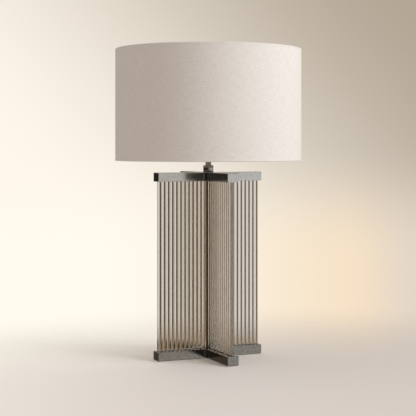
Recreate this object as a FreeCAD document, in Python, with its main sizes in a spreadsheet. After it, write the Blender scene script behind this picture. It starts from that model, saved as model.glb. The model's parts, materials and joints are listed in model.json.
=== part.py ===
import FreeCAD, Part
import math
import os
import Sketcher

# Column table lamp: two cross-shaped metal blocks hold four rows of upright
# glass rods round a centre tube, and the tube carries the lampholder, a wire
# harp and a drum shade.  Millimetres, +Z up.  The origin is on the table,
# under the middle of the column.  The four arms lie along +X, -X, +Y and -Y,
# the switch faces -Y, and the cable enters the end of the +Y arm.

doc = FreeCAD.newDocument("ColumnTableLamp")

# two levels closer than this count as one
SAME_LEVEL = 1e-3

# ---------------------------------------------------------------- sizes

SIZES = {
    # small turned pieces are drawn with this many straight sides
    "turned_sides": 24,
    # glass column; the rods are drawn with twelve sides
    "rods_per_arm": 12,
    "rod_sides": 12,
    "rod_diameter": 9.5,
    "rod_gap": 0.1,
    "rod_shown": 364.0,
    "rod_seat_depth": 4.0,
    "rod_side_clearance": 0.1,
    "gasket_thickness": 1.5,
    "gasket_clearance": 0.1,
    # the two crosses
    "arm_width": 27.0,
    "tip_wall": 3.4,
    "base_height": 19.0,
    "top_height": 19.5,
    "inner_corner_bevel": 3.0,
    "tip_bevel": 1.2,
    "edge_bevel": 0.6,
    # centre tube and the chamber for its nut under the base
    "tube_diameter": 10.0,
    "tube_bore": 7.6,
    "tube_rod_gap": 0.45,
    "tube_clearance": 0.05,
    "tube_end_gap": 4.0,
    "tube_in_socket": 10.0,
    "chamber_diameter": 22.0,
    "chamber_depth": 10.5,
    "clamp_plate_side": 15.0,
    "clamp_plate_thickness": 1.5,
    "nut_across_flats": 14.0,
    "nut_thickness": 4.0,
    "nut_sides": 6,
    # felt sole
    "felt_thickness": 1.0,
    "felt_inset": 2.5,
    # cable inlet
    "inlet_height": 7.0,
    "wire_hole_diameter": 7.4,
    "bushing_bore": 6.6,
    "bushing_diameter": 9.6,
    "bushing_sleeve": 5.5,
    "bushing_proud": 1.5,
    "bushing_clearance": 0.05,
    # neck
    "collar_diameter": 22.4,
    "collar_height": 15.0,
    "stem_diameter": 12.4,
    "stem_height": 10.0,
    # harp saddle: a strap whose ends turn up into tongues
    "saddle_thickness": 1.6,
    "saddle_width": 14.0,
    "saddle_foot": 15.0,
    "saddle_rise": 9.0,
    "saddle_slope": 8.0,
    "saddle_end": 4.0,
    "tongue_width": 5.0,
    "tongue_height": 12.0,
    "tongue_clearance": 0.05,
    # harp of flat strip, and the sleeves that lock it to the tongues
    "harp_foot_spread": 28.0,
    "harp_half_width": 57.0,
    "harp_strip": 2.0,
    "harp_strip_width": 5.0,
    "harp_foot_length": 30.0,
    "harp_lean": 35.0,
    "harp_top_radius": 14.0,
    "harp_disc_diameter": 18.0,
    "harp_disc_thickness": 2.4,
    "sleeve_wall": 1.0,
    "sleeve_length": 17.0,
    "sleeve_clearance": 0.06,
    # stud on the harp
    "stud_flange_width": 15.0,
    "stud_flange": 2.0,
    "stud_diameter": 6.1,
    "stud_length": 16.0,
    # lampholder
    "cap_bevel": 8.0,
    "cap_wall": 1.0,
    "cap_shoulder": 14.0,
    "cap_height": 20.0,
    "cap_clearance": 0.05,
    "shell_diameter": 34.0,
    "shell_wall": 0.8,
    "shell_height": 47.0,
    "insert_gap": 0.1,
    "insert_floor": 16.0,
    "insert_core": 22.0,
    "insert_height": 44.0,
    "contact_length": 10.0,
    "contact_width": 4.0,
    "contact_thickness": 0.4,
    # switch
    "switch_height": 28.0,
    "shaft_diameter": 5.0,
    "shaft_clearance": 0.05,
    "shaft_window": 0.7,
    "shaft_root": 5.0,
    "shaft_end_gap": 0.5,
    "key_gap": 3.0,
    "key_boss_diameter": 8.0,
    "key_boss_length": 5.0,
    "key_length": 14.0,
    "key_width": 14.0,
    "key_thickness": 3.0,
    "key_corner": 4.0,
    "key_socket": 4.0,
    # tubular bulb
    "bulb_cap_diameter": 26.1,
    "bulb_cap_height": 22.5,
    "bulb_thread_clearance": 0.05,
    "bulb_tip_gap": 0.5,
    "bulb_tip_height": 5.0,
    "bulb_tip_diameter": 9.0,
    "bulb_neck_diameter": 28.0,
    "bulb_neck_height": 4.0,
    "bulb_diameter": 38.0,
    "bulb_shoulder_bevel": 4.0,
    "bulb_crown_bevel": 8.0,
    "bulb_length": 125.0,
    # shade and its fitting; the hoops are drawn with straight sides
    "shade_diameter": 406.4,
    "shade_height": 243.0,
    "shade_gap": 25.0,
    "shade_wall": 1.3,
    "hoop_sides": 36,
    "hoop_section": 3.2,
    "hoop_gap": 0.1,
    "hoop_inset": 1.2,
    "spider_drop": 17.0,
    "spider_wire": 3.2,
    "spider_arms": 3,
    "spider_bend": 7.0,
    "spider_root_gap": 2.0,
    "spider_wall_gap": 0.3,
    "spider_turn": 90.0,
    "hub_diameter": 32.0,
    "hub_thickness": 1.5,
    "hub_clearance": 0.1,
    "hub_seat_gap": 0.1,
    # finial
    "finial_height": 25.0,
    "finial_foot_diameter": 18.0,
    "finial_foot_height": 1.6,
    "finial_neck_diameter": 8.4,
    "finial_neck_height": 9.0,
    "finial_knob_diameter": 17.0,
    "finial_knob_bevel": 4.0,
    "finial_bore_depth": 15.0,
    "finial_clearance": 0.05,
}

sheet = doc.addObject("Spreadsheet::Sheet", "Sizes")
for row, (alias, number) in enumerate(SIZES.items(), start=1):
    sheet.set("A%d" % row, alias)
    sheet.set("B%d" % row, str(number))
    sheet.setAlias("B%d" % row, alias)
doc.recompute()

# Levels and spacings that follow from the sizes.  Levels are heights above
# the table.
DERIVED = {
    "rod_pitch": "Sizes.rod_diameter + Sizes.rod_gap",
    "first_rod": "(Sizes.tube_diameter + Sizes.rod_diameter) / 2 + Sizes.tube_rod_gap",
    "last_rod": "Derived.first_rod + (Sizes.rods_per_arm - 1) * Derived.rod_pitch",
    "groove_radius": "Sizes.rod_diameter / 2 + Sizes.rod_side_clearance",
    "groove_depth": "Sizes.rod_seat_depth + Sizes.gasket_thickness",
    "arm_reach": "Derived.last_rod + Derived.groove_radius + Sizes.tip_wall",
    "tube_hole": "Sizes.tube_diameter / 2 + Sizes.tube_clearance",
    "base_floor": "Sizes.felt_thickness",
    "base_top": "Derived.base_floor + Sizes.base_height",
    "rod_floor": "Derived.base_top - Sizes.rod_seat_depth",
    "rod_length": "Sizes.rod_shown + 2 * Sizes.rod_seat_depth",
    "top_floor": "Derived.base_top + Sizes.rod_shown",
    "top_top": "Derived.top_floor + Sizes.top_height",
    "collar_top": "Derived.top_top + Sizes.collar_height",
    "saddle_floor": "Derived.collar_top + Sizes.stem_height",
    "saddle_top": "Derived.saddle_floor + Sizes.saddle_thickness",
    "shoulder_top": "Derived.saddle_top + Sizes.saddle_rise",
    "tube_floor": "Derived.base_floor + Sizes.tube_end_gap",
    "clamp_height": "Sizes.nut_thickness + Sizes.clamp_plate_thickness",
    "wire_run": "Derived.arm_reach - Sizes.chamber_diameter / 2 + Sizes.wire_hole_diameter / 2",
    "tube_top": "Derived.saddle_top + Sizes.tube_in_socket",
    "shell_floor": "Derived.saddle_top + Sizes.cap_shoulder",
    "shell_bore": "Sizes.shell_diameter / 2 - Sizes.shell_wall",
    "insert_radius": "Derived.shell_bore - Sizes.insert_gap",
    "insert_floor": "Derived.saddle_top + Sizes.insert_floor",
    "switch_axis": "Derived.saddle_top + Sizes.switch_height",
    "key_root": "Sizes.shell_diameter / 2 + Sizes.key_gap",
    "bulb_socket": "Sizes.bulb_cap_diameter / 2 + Sizes.bulb_thread_clearance",
    "bulb_floor": "Derived.insert_floor + Sizes.insert_core + Sizes.bulb_tip_gap",
    "shade_floor": "Derived.top_top + Sizes.shade_gap",
    "shade_top": "Derived.shade_floor + Sizes.shade_height",
    "hoop_outside": "Sizes.shade_diameter / 2 - Sizes.shade_wall - Sizes.hoop_gap",
    "hoop_inside": "(Derived.hoop_outside - Sizes.hoop_section / cos(180 deg / Sizes.hoop_sides))",
    "top_hoop_floor": "Derived.shade_top - Sizes.hoop_inset - Sizes.hoop_section",
    "hub_top": "Derived.shade_top - Sizes.spider_drop",
    "flange_top": "Derived.hub_top - Sizes.hub_thickness - Sizes.hub_seat_gap",
    "harp_disc_top": "Derived.flange_top - Sizes.stud_flange",
    "harp_rise": "Derived.harp_disc_top - Sizes.harp_disc_thickness / 2"
    " - Derived.shoulder_top - Sizes.harp_foot_length",
    # The harp leaves its foot upright, leans out, is upright again where it is
    # widest, and bows in until a small arc lays it level at the top.
    "harp_foot": "Sizes.harp_foot_spread + Sizes.tongue_clearance + Sizes.harp_strip / 2",
    "lean_rise": "(Sizes.harp_half_width - Derived.harp_foot) / tan(Sizes.harp_lean * 0.5 deg)",
    "harp_flat": "Sizes.harp_disc_diameter / 2 - Sizes.harp_strip",
    "bow_side": "Sizes.harp_half_width - Derived.harp_flat - Sizes.harp_top_radius",
    "bow_climb": "Derived.harp_rise - Derived.lean_rise - Sizes.harp_top_radius",
    "bow_turn": "2 * atan(Derived.bow_side / Derived.bow_climb) / 1 deg",
    "bow_radius": "Derived.bow_climb / sin(Derived.bow_turn * 1 deg) + Sizes.harp_top_radius",
    "lean_radius": "(Sizes.harp_half_width - Derived.harp_foot)"
    " / (1 - cos(Sizes.harp_lean * 1 deg)) - Derived.bow_radius",
}

derived = doc.addObject("App::VarSet", "Derived")
for name in DERIVED:
    derived.addProperty("App::PropertyFloat", name)
for name, formula in DERIVED.items():
    derived.setExpression(name, formula)
doc.recompute()

NODES = []
OTHER_SIDE = {"left": "right", "right": "left"}

# ---------------------------------------------------------------- helpers


def number(formula):
    """Value of a formula on the sheet."""
    return float(sheet.evalExpression(formula))


def keep(thing, label):
    """Name a finished sub-part and list it for the files."""
    thing.Label = label
    NODES.append(thing)
    return thing


def place(thing, x=None, y=None, z=None):
    """Tie a piece's position to formulas."""
    for axis, formula in (("x", x), ("y", y), ("z", z)):
        if formula is not None:
            thing.setExpression("Placement.Base." + axis, formula)
    return thing


def turn_to_y(thing):
    """Lay a piece that was made along its own Z axis along +Y."""
    thing.Placement = FreeCAD.Placement(
        FreeCAD.Vector(), FreeCAD.Rotation(FreeCAD.Vector(1, 0, 0), -90)
    )
    return thing


def new_body(name):
    return doc.addObject("PartDesign::Body", name)


def new_sketch(body, name, plane="XY_Plane", lift=None):
    """Empty sketch on one of the body's own planes, lifted along its normal."""
    sketch = body.newObject("Sketcher::SketchObject", body.Name + "_" + name)
    for feature in body.Origin.OriginFeatures:
        if feature.Role == plane:
            sketch.AttachmentSupport = [(feature, "")]
    sketch.MapMode = "FlatFace"
    if lift is not None:
        sketch.setExpression("AttachmentOffset.Base.z", lift)
    return sketch


def tie(sketch, constraint, formula):
    """Add a dimension and bind it to its formula."""
    index = sketch.addConstraint(constraint)
    sketch.setExpression("Constraints[%d]" % index, formula)


def pin_point(sketch, line, end, x, y):
    """Hold one end of a line at two formulas; zero means on the axis."""
    if x == "0":
        sketch.addConstraint(Sketcher.Constraint("PointOnObject", line, end, -2))
    else:
        tie(sketch, Sketcher.Constraint("DistanceX", -1, 1, line, end, number(x)), x)
    if y == "0":
        sketch.addConstraint(Sketcher.Constraint("PointOnObject", line, end, -1))
    else:
        tie(sketch, Sketcher.Constraint("DistanceY", -1, 1, line, end, number(y)), y)


def arc_between(start, finish, radius, centre_on_left):
    """Short arc from start to finish, and which of its ends is the start."""
    middle = (start + finish) * 0.5
    chord = finish - start
    reach = math.sqrt(radius**2 - (chord.Length / 2) ** 2)
    left = FreeCAD.Vector(-chord.y, chord.x, 0) / chord.Length
    centre = middle + left * (reach if centre_on_left else -reach)
    circle = Part.Circle(centre, FreeCAD.Vector(0, 0, 1), radius)
    first, last = (start, finish) if centre_on_left else (finish, start)
    from_angle = math.atan2(first.y - centre.y, first.x - centre.x)
    to_angle = math.atan2(last.y - centre.y, last.x - centre.x)
    arc = Part.ArcOfCircle(circle, from_angle, to_angle)
    return arc, (1, 2) if centre_on_left else (2, 1)


def draw(sketch, corners, closed=True):
    """Outline through corners (x, y), or (x, y, radius, side) where the edge
    that leaves the corner is an arc with its centre on that side."""
    spots = [FreeCAD.Vector(number(corner[0]), number(corner[1]), 0) for corner in corners]
    edge_count = len(corners) if closed else len(corners) - 1
    ends = []
    for index in range(edge_count):
        start = spots[index]
        finish = spots[(index + 1) % len(spots)]
        if len(corners[index]) == 2:
            sketch.addGeometry(Part.LineSegment(start, finish))
            ends.append((1, 2))
        else:
            radius, side = corners[index][2:]
            arc, arc_ends = arc_between(start, finish, number(radius), side == "left")
            sketch.addGeometry(arc)
            ends.append(arc_ends)
            tie(sketch, Sketcher.Constraint("Radius", index, number(radius)), radius)
    for index in range(edge_count):
        pin_point(sketch, index, ends[index][0], corners[index][0], corners[index][1])
        after = index + 1
        if closed or after < edge_count:
            after = after % edge_count
            meet = Sketcher.Constraint("Coincident", index, ends[index][1], after, ends[after][0])
            sketch.addConstraint(meet)
    if not closed:
        pin_point(sketch, edge_count - 1, ends[-1][1], corners[-1][0], corners[-1][1])
    return sketch


def backwards(corners):
    """The same open outline, walked the other way."""
    walked = []
    for index in reversed(range(len(corners))):
        corner = corners[index][:2]
        if index > 0 and len(corners[index - 1]) == 4:
            radius, side = corners[index - 1][2:]
            corner += (radius, OTHER_SIDE[side])
        walked.append(corner)
    return walked


def mirrored(corners):
    """Mirror image of an outline, across its sketch's upright axis."""
    image = []
    for corner in corners:
        arc = (corner[2], OTHER_SIDE[corner[3]]) if len(corner) == 4 else ()
        image.append(("-(%s)" % corner[0], corner[1]) + arc)
    return image


def draw_circle(sketch, radius, x="0", y="0"):
    spot = FreeCAD.Vector(number(x), number(y), 0)
    index = sketch.addGeometry(Part.Circle(spot, FreeCAD.Vector(0, 0, 1), number(radius)))
    pin_point(sketch, index, 3, x, y)
    tie(sketch, Sketcher.Constraint("Radius", index, number(radius)), radius)
    return sketch


def draw_polygon(sketch, radius, sides):
    """Regular outline whose corners lie on a circle round the origin."""
    count = int(number(sides))
    turns = ["%s * 360 deg / %s" % (index, sides) for index in range(count)]
    corners = [("%s * cos(%s)" % (radius, turn), "%s * sin(%s)" % (radius, turn)) for turn in turns]
    return draw(sketch, corners)


def draw_box(sketch, half_x, half_y):
    """Rectangle centred on the sketch's origin."""
    right, left = half_x, "-(%s)" % half_x
    top, bottom = half_y, "-(%s)" % half_y
    return draw(sketch, [(left, bottom), (right, bottom), (right, top), (left, top)])


def pad(body, sketch, length, both_sides=False):
    feature = body.newObject("PartDesign::Pad", sketch.Name + "_pad")
    feature.Profile = sketch
    feature.setExpression("Length", length)
    feature.Midplane = both_sides
    doc.recompute()
    return feature


def pocket(body, sketch, depth, along_normal=False):
    """Cut a sketch away and make sure that something was cut."""
    before = body.Shape.Volume
    feature = body.newObject("PartDesign::Pocket", sketch.Name + "_cut")
    feature.Profile = sketch
    feature.setExpression("Length", depth)
    feature.Reversed = along_normal
    doc.recompute()
    if not body.Shape.Volume < before:
        raise RuntimeError(sketch.Name + " cut nothing")
    return feature


def revolve(body, sketch):
    feature = body.newObject("PartDesign::Revolution", sketch.Name + "_turned")
    feature.Profile = sketch
    feature.ReferenceAxis = (sketch, ["V_Axis"])
    feature.Angle = 360
    doc.recompute()
    return feature


def bevel(body, formula, test):
    """Chamfer the body's edges that pass a test."""
    tip = body.Tip
    chosen = ["Edge%d" % (i + 1) for i, edge in enumerate(tip.Shape.Edges) if test(edge)]
    feature = body.newObject("PartDesign::Chamfer", body.Name + "_bevel")
    feature.Base = (tip, chosen)
    feature.setExpression("Size", formula)
    doc.recompute()
    return feature


def turned(label, corners):
    """Piece turned about Z from an outline of (radius, height) corners."""
    body = new_body(label)
    revolve(body, draw(new_sketch(body, "outline", "XZ_Plane"), corners))
    return keep(body, label)


def many_sided(body, name, radius, length, lift=None):
    """Pad with straight sides that stands for a turned length."""
    sketch = draw_polygon(new_sketch(body, name, lift=lift), radius, "Sizes.turned_sides")
    return pad(body, sketch, length)


def bevel_level(body, size, height):
    """Bevel the body's edges that lie at one height."""
    level = number(height)

    def at_level(edge):
        box = edge.BoundBox
        return abs(box.ZMin - level) < SAME_LEVEL and abs(box.ZMax - level) < SAME_LEVEL

    return bevel(body, size, at_level)


def ring(label, outer, inner, length):
    """Plain tube or washer along Z."""
    body = new_body(label)
    sketch = draw_circle(new_sketch(body, "outline"), outer)
    draw_circle(sketch, inner)
    pad(body, sketch, length)
    return keep(body, label)


def hole(body, name, radius, depth, plane="XY_Plane", lift=None, height="0", forward=True):
    """Round hole, centred or raised above the middle of its sketch."""
    sketch = draw_circle(new_sketch(body, name, plane, lift), radius, y=height)
    return pocket(body, sketch, depth, forward)


def copies_about_z(body, feature, count):
    """Repeat a feature evenly about the body's Z axis."""
    pattern = body.newObject("PartDesign::PolarPattern", body.Name + "_copies")
    pattern.Originals = [feature]
    for line in body.Origin.OriginFeatures:
        if line.Role == "Z_Axis":
            pattern.Axis = (line, [""])
    pattern.setExpression("Occurrences", count)
    body.Tip = pattern
    doc.recompute()


def prism_ring(label, sides, outer, inner, height):
    """Straight-sided ring; inner cuts with a prism of as many sides."""
    pieces = []
    for name, radius in (("outside", outer), ("inside", inner)):
        prism = doc.addObject("Part::Prism", label + "_" + name)
        prism.setExpression("Polygon", sides)
        prism.setExpression("Circumradius", radius)
        prism.setExpression("Height", height)
        pieces.append(prism)
    cut = doc.addObject("Part::Cut", label)
    cut.Base, cut.Tool = pieces
    return keep(cut, label)


# ---------------------------------------------------------------- crosses


def cross_block(label, height, groove_from_top):
    """Solid plus-shaped block with a rod groove along every arm."""
    body = new_body(label)
    long_half, short_half = "Derived.arm_reach", "Sizes.arm_width / 2"
    pad(body, draw_box(new_sketch(body, "bar_x"), long_half, short_half), height)
    pad(body, draw_box(new_sketch(body, "bar_y"), short_half, long_half), height)
    reach, half_width = number(long_half), number(short_half)

    def is_upright(edge):
        box = edge.BoundBox
        return max(box.XLength, box.YLength) < SAME_LEVEL

    def distance_out(edge):
        spot = edge.CenterOfMass
        return max(abs(spot.x), abs(spot.y))

    def at_tip(edge):
        return is_upright(edge) and distance_out(edge) > reach - SAME_LEVEL

    def at_inner_corner(edge):
        return is_upright(edge) and distance_out(edge) < half_width + SAME_LEVEL

    def on_rim(edge):
        return edge.BoundBox.ZLength < SAME_LEVEL

    bevel(body, "Sizes.tip_bevel", at_tip)
    bevel(body, "Sizes.inner_corner_bevel", at_inner_corner)
    bevel(body, "Sizes.edge_bevel", on_rim)

    face = height if groove_from_top else None
    groove_half = "Derived.last_rod + Derived.groove_radius"
    for name, half_x, half_y in (
        ("groove_x", groove_half, "Derived.groove_radius"),
        ("groove_y", "Derived.groove_radius", groove_half),
    ):
        sketch = draw_box(new_sketch(body, name, lift=face), half_x, half_y)
        pocket(body, sketch, "Derived.groove_depth", along_normal=not groove_from_top)
    hole(body, "tube_hole", "Derived.tube_hole", height)
    return body


def base_cross():
    body = cross_block("base_cross", "Sizes.base_height", True)
    # chamber for the clamping nut
    hole(body, "chamber", "Sizes.chamber_diameter / 2", "Sizes.chamber_depth")
    # long cable hole from the end of the rear arm into the chamber
    end_face = "-Derived.arm_reach"
    middle = "Sizes.inlet_height"
    wire_hole = "Sizes.wire_hole_diameter / 2"
    hole(body, "wire_hole", wire_hole, "Derived.wire_run", "XZ_Plane", end_face, middle)
    mouth = "Sizes.bushing_diameter / 2 + Sizes.bushing_clearance"
    hole(body, "inlet", mouth, "Sizes.bushing_sleeve", "XZ_Plane", end_face, middle)
    place(body, z="Derived.base_floor")
    return keep(body, "base_cross")


def top_cross():
    body = cross_block("top_cross", "Sizes.top_height", False)
    place(body, z="Derived.top_floor")
    return keep(body, "top_cross")


def flat_cross(label, half_length, half_width, thickness):
    """Cross cut from sheet."""
    body = new_body(label)
    for name, half_x, half_y in (
        ("strip_x", half_length, half_width),
        ("strip_y", half_width, half_length),
    ):
        pad(body, draw_box(new_sketch(body, name), half_x, half_y), thickness)
    return keep(body, label)


def felt_sole():
    """Felt that covers the underside of the base and closes its chamber."""
    inset = " - Sizes.felt_inset"
    length, width = "Derived.arm_reach" + inset, "Sizes.arm_width / 2" + inset
    return flat_cross("felt_sole", length, width, "Sizes.felt_thickness")


def rod_gasket(label, floor):
    """Cushion between the rod ends and the floor of a groove."""
    radius = "Derived.groove_radius - Sizes.gasket_clearance"
    gasket = flat_cross(label, "Derived.last_rod + " + radius, radius, "Sizes.gasket_thickness")
    hole(gasket, "tube_hole", "Derived.tube_hole", "Sizes.gasket_thickness")
    return place(gasket, z=floor)


# ---------------------------------------------------------------- glass column


def rod_row(name, along_x, direction):
    """One arm's row of upright glass rods."""
    rods = []
    for index in range(int(number("Sizes.rods_per_arm"))):
        rod = doc.addObject("Part::Prism", "rod_%s_%d" % (name, index + 1))
        rod.setExpression("Polygon", "Sizes.rod_sides")
        rod.setExpression("Circumradius", "Sizes.rod_diameter / 2")
        rod.setExpression("Height", "Derived.rod_length")
        spot = "%d * (Derived.first_rod + %d * Derived.rod_pitch)" % (direction, index)
        place(rod, spot if along_x else None, None if along_x else spot, "Derived.rod_floor")
        rods.append(rod)
    row = doc.addObject("Part::Compound", "glass_rods_" + name)
    row.Links = rods
    return keep(row, "glass_rods_" + name)


def clamping():
    """Centre tube, and the flanged nut that holds it in the base."""
    length = "Derived.tube_top - Derived.tube_floor"
    tube = ring("column_tube", "Sizes.tube_diameter / 2", "Sizes.tube_bore / 2", length)
    place(tube, z="Derived.tube_floor")

    nut = new_body("clamp_nut")
    half_side = "Sizes.clamp_plate_side / 2"
    plate = draw_box(new_sketch(nut, "plate", lift="Sizes.nut_thickness"), half_side, half_side)
    pad(nut, plate, "Sizes.clamp_plate_thickness")
    corner = "Sizes.nut_across_flats / sqrt(3)"
    hexagon = draw_polygon(new_sketch(nut, "hexagon"), corner, "Sizes.nut_sides")
    pad(nut, hexagon, "Sizes.nut_thickness")
    hole(nut, "thread", "Derived.tube_hole", "Derived.clamp_height")
    place(nut, z="Derived.base_floor + Sizes.chamber_depth - Derived.clamp_height")
    keep(nut, "clamp_nut")


def cable_bushing():
    """Bushing in the end of the rear arm; the cable leaves along +Y."""
    length = "Sizes.bushing_sleeve + Sizes.bushing_proud"
    bushing = ring("cable_bushing", "Sizes.bushing_diameter / 2", "Sizes.bushing_bore / 2", length)
    turn_to_y(bushing)
    height = "Derived.base_floor + Sizes.inlet_height"
    place(bushing, y="Derived.arm_reach - Sizes.bushing_sleeve", z=height)


# ---------------------------------------------------------------- neck and harp


def neck():
    """Collar that screws down on the top cross, and the stem above it."""
    bore, collar, stem = "Derived.tube_hole", "Sizes.collar_diameter / 2", "Sizes.stem_diameter / 2"
    outline = [
        (bore, "0"),
        (collar, "0"),
        (collar, "Sizes.collar_height"),
        (stem, "Sizes.collar_height"),
        (stem, "Sizes.collar_height + Sizes.stem_height"),
        (bore, "Sizes.collar_height + Sizes.stem_height"),
    ]
    place(turned("neck", outline), z="Derived.top_top")


def harp_saddle():
    """Bent strap under the lampholder, with an upright tongue at each end."""
    body = new_body("harp_saddle")
    foot, slope = "Sizes.saddle_foot", "Sizes.saddle_foot + Sizes.saddle_slope"
    end = "Sizes.harp_foot_spread + Sizes.saddle_end"
    thick = "Sizes.saddle_thickness"
    under, over = "Sizes.saddle_rise", "Sizes.saddle_rise + " + thick
    # the upper bends sit half a thickness further in, so the slope keeps its
    # thickness
    inner = " - " + thick + " / 2"
    lower_edge = [(foot, "0"), (slope, under), (end, under)]
    upper_edge = [(foot + inner, thick), (slope + inner, over), (end, over)]
    upper_edge = backwards(upper_edge) + mirrored(upper_edge)
    outline = lower_edge + upper_edge + backwards(mirrored(lower_edge))
    strap = draw(new_sketch(body, "strap", "XZ_Plane"), outline)
    pad(body, strap, "Sizes.saddle_width", both_sides=True)
    outside, inside = "Sizes.harp_foot_spread", "Sizes.harp_foot_spread - " + thick
    top = over + " + Sizes.tongue_height"
    tongue = [(inside, over), (outside, over), (outside, top), (inside, top)]
    for name, corners in (("right", tongue), ("left", mirrored(tongue))):
        sketch = draw(new_sketch(body, "tongue_" + name, "XZ_Plane"), corners)
        pad(body, sketch, "Sizes.tongue_width", both_sides=True)
    hole(body, "tube_hole", "Derived.tube_hole", thick)
    place(body, z="Derived.saddle_floor")
    return keep(body, "harp_saddle")


def harp_edge(offset):
    """Right-hand edge of the strip from foot to crown, offset outwards from
    the middle of the strip; heights are above the foot."""
    lean_arc = "(Derived.lean_radius - (%s))" % offset
    bow_arc = "(Derived.bow_radius + (%s))" % offset
    crown_arc = "(Sizes.harp_top_radius + (%s))" % offset
    foot = "Derived.harp_foot + (%s)" % offset
    length = "Sizes.harp_foot_length"
    lean, bow = "(Sizes.harp_lean * 1 deg)", "(Derived.bow_turn * 1 deg)"
    leaning = (
        "Derived.harp_foot + Derived.lean_radius - %s * cos%s" % (lean_arc, lean),
        "%s + %s * sin%s" % (length, lean_arc, lean),
    )
    bowed = (
        "Sizes.harp_half_width - Derived.bow_radius + %s * cos%s" % (bow_arc, bow),
        "%s + Derived.lean_rise + %s * sin%s" % (length, bow_arc, bow),
    )
    crown = "%s + Derived.harp_rise + (%s)" % (length, offset)
    return [
        (foot, "0"),
        (foot, length, lean_arc, "right"),
        leaning + (bow_arc, "left"),
        bowed + (crown_arc, "left"),
        ("Derived.harp_flat", crown),
    ]


def harp():
    """Harp bent from flat strip, with a disc on top."""
    body = new_body("harp")
    outer = harp_edge("Sizes.harp_strip / 2")
    inner = harp_edge("-Sizes.harp_strip / 2")
    outer += backwards(mirrored(outer))
    inner += backwards(mirrored(inner))
    sketch = draw(new_sketch(body, "strip", "XZ_Plane"), outer + backwards(inner))
    pad(body, sketch, "Sizes.harp_strip_width", both_sides=True)
    seat = "Derived.harp_disc_top - Derived.shoulder_top - Sizes.harp_disc_thickness"
    many_sided(body, "disc", "Sizes.harp_disc_diameter / 2", "Sizes.harp_disc_thickness", seat)
    place(body, z="Derived.shoulder_top")
    return keep(body, "harp")


def harp_stud():
    """Screw with a hexagonal flange, fast on the harp's disc; the flange
    carries the shade."""
    body = new_body("harp_stud")
    corner = "Sizes.stud_flange_width / sqrt(3)"
    flange = draw_polygon(new_sketch(body, "flange"), corner, "Sizes.nut_sides")
    pad(body, flange, "Sizes.stud_flange")
    screw = new_sketch(body, "screw", lift="Sizes.stud_flange")
    pad(body, draw_circle(screw, "Sizes.stud_diameter / 2"), "Sizes.stud_length")
    place(body, z="Derived.harp_disc_top")
    keep(body, "harp_stud")


def harp_sleeves():
    """Box sleeves that slide up to free the harp's feet from the tongues."""
    strip = "Sizes.harp_strip + Sizes.tongue_clearance"
    half_bore = "(%s + Sizes.saddle_thickness) / 2 + Sizes.sleeve_clearance" % strip
    half_slot = "Sizes.tongue_width / 2 + Sizes.sleeve_clearance"
    middle = "Sizes.harp_foot_spread + (%s - Sizes.saddle_thickness) / 2" % strip
    for name, x in (("right", middle), ("left", "-(%s)" % middle)):
        body = new_body("harp_sleeve_" + name)
        sketch = new_sketch(body, "outline")
        draw_box(sketch, half_bore + " + Sizes.sleeve_wall", half_slot + " + Sizes.sleeve_wall")
        pad(body, sketch, "Sizes.sleeve_length")
        sketch = draw_box(new_sketch(body, "bore"), half_bore, half_slot)
        pocket(body, sketch, "Sizes.sleeve_length", along_normal=True)
        place(body, x=x, z="Derived.shoulder_top")
        keep(body, "harp_sleeve_" + name)


# ---------------------------------------------------------------- lampholder


def socket_cap():
    """Bevelled cap that takes the tube below and the shell above."""
    cap = new_body("socket_cap")
    seat = "Sizes.shell_diameter / 2 + Sizes.cap_clearance"
    corner = "(%s + Sizes.cap_wall) / cos(180 deg / Sizes.turned_sides)" % seat
    many_sided(cap, "outline", corner, "Sizes.cap_height")
    bevel_level(cap, "Sizes.cap_bevel", "0")
    depth = "Sizes.cap_height - Sizes.cap_shoulder"
    hole(cap, "seat", seat, depth, lift="Sizes.cap_shoulder")
    hole(cap, "bore", "Derived.tube_hole", "Sizes.cap_shoulder")
    place(cap, z="Derived.saddle_top")
    keep(cap, "socket_cap")


def socket_shell():
    """Thin shell round the core, with a window for the switch shaft."""
    wall = "Sizes.shell_diameter / 2"
    shell = ring("socket_shell", wall, "Derived.shell_bore", "Sizes.shell_height")
    half = "(Sizes.shaft_diameter / 2 + Sizes.shaft_window)"
    height = "Sizes.switch_height - Sizes.cap_shoulder"
    below, above = "%s - %s" % (height, half), "%s + %s" % (height, half)
    right = [(half, below), (half, above)]
    window = draw(new_sketch(shell, "window", "XZ_Plane"), right + backwards(mirrored(right)))
    pocket(shell, window, wall, along_normal=True)
    place(shell, z="Derived.shell_floor")


def socket_insert():
    """Moulded core: the bulb screws into its upper half, the switch turns in
    its lower half, and a contact strip lies on the floor between them."""
    radius, bore = "Derived.insert_radius", "Derived.bulb_socket"
    outline = [
        ("0", "0"),
        (radius, "0"),
        (radius, "Sizes.insert_height"),
        (bore, "Sizes.insert_height"),
        (bore, "Sizes.insert_core"),
        ("0", "Sizes.insert_core"),
    ]
    core = turned("socket_insert", outline)
    shaft = "Sizes.shaft_diameter / 2 + Sizes.shaft_clearance"
    height = "Sizes.switch_height - Sizes.insert_floor"
    depth = radius + " - Sizes.shaft_root"
    hole(core, "shaft_bore", shaft, depth, "XZ_Plane", radius, height, forward=False)
    place(core, z="Derived.insert_floor")

    contact = new_body("socket_contact")
    strip = new_sketch(contact, "strip")
    draw_box(strip, "Sizes.contact_length / 2", "Sizes.contact_width / 2")
    pad(contact, strip, "Sizes.contact_thickness")
    place(contact, z="Derived.insert_floor + Sizes.insert_core")
    keep(contact, "socket_contact")


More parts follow.
